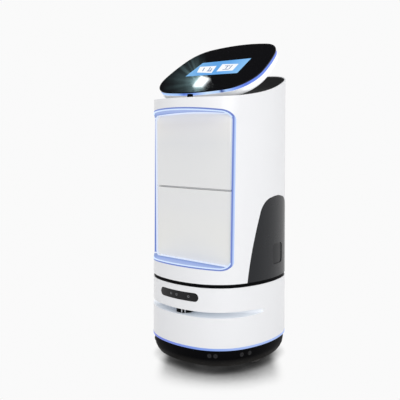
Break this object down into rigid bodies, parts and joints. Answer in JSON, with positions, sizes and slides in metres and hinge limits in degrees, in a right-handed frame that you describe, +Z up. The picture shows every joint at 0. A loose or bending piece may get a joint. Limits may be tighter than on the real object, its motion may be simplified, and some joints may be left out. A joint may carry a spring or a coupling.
{
  "type": "indoor delivery robot",
  "caption": "Indoor delivery robot: oval white body on drive wheels and casters, upper and lower cabins with hinged doors, blue light rings and a tilted display head.",
  "frame": {"origin": "on the floor under the middle of the body's oval plan", "axes": "+Z up, -Y the side with the doors, +X the robot's own left"},
  "size_m": [0.4586, 0.478, 1.1434],
  "materials": {
    "white_shell": "satin white moulded shell",
    "door_panel": "light grey satin paint",
    "black_plastic": "black textured plastic",
    "side_panel": "charcoal matt plastic",
    "light_strip": "frosted light guide, lit blue",
    "black_glass": "polished black cover",
    "screen": "lit display with plain tiles",
    "tyre": "grey black rubber",
    "wheel_rim": "cast and turned",
    "steel": "zinc plated",
    "brass": "bare contact metal",
    "cabin": "grey moulded lining",
    "frame_metal": "black powder coat",
    "battery_case": "black case"
  },
  "bodies": {
    "chassis": {"bumper": "black_plastic", "bumper_sensors": "black_glass", "under_cover": "black_plastic", "base_light": "light_strip", "chassis_plate": "frame_metal", "battery": "battery_case", "base_shell": "white_shell", "sensor_window": "black_glass", "laser_scanner": "black_glass", "charge_block": "black_plastic", "charge_contacts": "brass", "middle_deck": "black_plastic", "upper_shell": "white_shell", "rear_cover": "white_shell", "side_panel_left": "side_panel", "side_panel_right": "side_panel", "door_light": "light_strip", "door_surround": "white_shell", "door_hinges": "steel", "lower_cabin": "cabin", "upper_cabin": "cabin", "top_deck": "black_plastic", "head_neck": "black_plastic", "head_shell": "white_shell", "head_light": "light_strip", "head_glass": "black_glass", "display": "screen", "head_camera": "black_plastic", "drive_bracket_left": "frame_metal", "drive_bracket_right": "frame_metal", "caster_mount_front_left": "steel", "caster_mount_rear_left": "steel", "caster_mount_front_right": "steel", "caster_mount_rear_right": "steel"},
    "drive_wheel_left": {"drive_hub_left": "wheel_rim", "drive_tyre_left": "tyre"},
    "drive_wheel_right": {"drive_hub_right": "wheel_rim", "drive_tyre_right": "tyre"},
    "caster_fork_front_left": {"caster_fork_front_left": "steel"},
    "caster_wheel_front_left": {"caster_wheel_front_left": "tyre"},
    "caster_fork_rear_left": {"caster_fork_rear_left": "steel"},
    "caster_wheel_rear_left": {"caster_wheel_rear_left": "tyre"},
    "caster_fork_front_right": {"caster_fork_front_right": "steel"},
    "caster_wheel_front_right": {"caster_wheel_front_right": "tyre"},
    "caster_fork_rear_right": {"caster_fork_rear_right": "steel"},
    "caster_wheel_rear_right": {"caster_wheel_rear_right": "tyre"},
    "lower_door": {"lower_door": "door_panel"},
    "upper_door": {"upper_door": "door_panel"}
  },
  "joints": [
    {"name": "drive_spin_left", "type": "hinge", "parent": "chassis", "child": "drive_wheel_left", "pos_m": [0.16, 0, 0.075], "axis": [1, 0, 0], "continuous": true},
    {"name": "drive_spin_right", "type": "hinge", "parent": "chassis", "child": "drive_wheel_right", "pos_m": [-0.16, 0, 0.075], "axis": [1, 0, 0], "continuous": true},
    {"name": "caster_swivel_front_left", "type": "hinge", "parent": "chassis", "child": "caster_fork_front_left", "pos_m": [0.08, -0.14, 0.069], "axis": [0, 0, 1], "continuous": true},
    {"name": "caster_spin_front_left", "type": "hinge", "parent": "caster_fork_front_left", "child": "caster_wheel_front_left", "pos_m": [0.08, -0.126, 0.03], "axis": [1, 0, 0], "continuous": true},
    {"name": "caster_swivel_rear_left", "type": "hinge", "parent": "chassis", "child": "caster_fork_rear_left", "pos_m": [0.08, 0.14, 0.069], "axis": [0, 0, 1], "continuous": true},
    {"name": "caster_spin_rear_left", "type": "hinge", "parent": "caster_fork_rear_left", "child": "caster_wheel_rear_left", "pos_m": [0.08, 0.154, 0.03], "axis": [1, 0, 0], "continuous": true},
    {"name": "caster_swivel_front_right", "type": "hinge", "parent": "chassis", "child": "caster_fork_front_right", "pos_m": [-0.08, -0.14, 0.069], "axis": [0, 0, 1], "continuous": true},
    {"name": "caster_spin_front_right", "type": "hinge", "parent": "caster_fork_front_right", "child": "caster_wheel_front_right", "pos_m": [-0.08, -0.126, 0.03], "axis": [1, 0, 0], "continuous": true},
    {"name": "caster_swivel_rear_right", "type": "hinge", "parent": "chassis", "child": "caster_fork_rear_right", "pos_m": [-0.08, 0.14, 0.069], "axis": [0, 0, 1], "continuous": true},
    {"name": "caster_spin_rear_right", "type": "hinge", "parent": "caster_fork_rear_right", "child": "caster_wheel_rear_right", "pos_m": [-0.08, 0.154, 0.03], "axis": [1, 0, 0], "continuous": true},
    {"name": "lower_door_hinge", "type": "hinge", "parent": "chassis", "child": "lower_door", "pos_m": [-0.1685, -0.1425, 0.496], "axis": [0, 0, -1], "range_deg": [0, 95]},
    {"name": "upper_door_hinge", "type": "hinge", "parent": "chassis", "child": "upper_door", "pos_m": [-0.1685, -0.1425, 0.754], "axis": [0, 0, -1], "range_deg": [0, 95]}
  ]
}
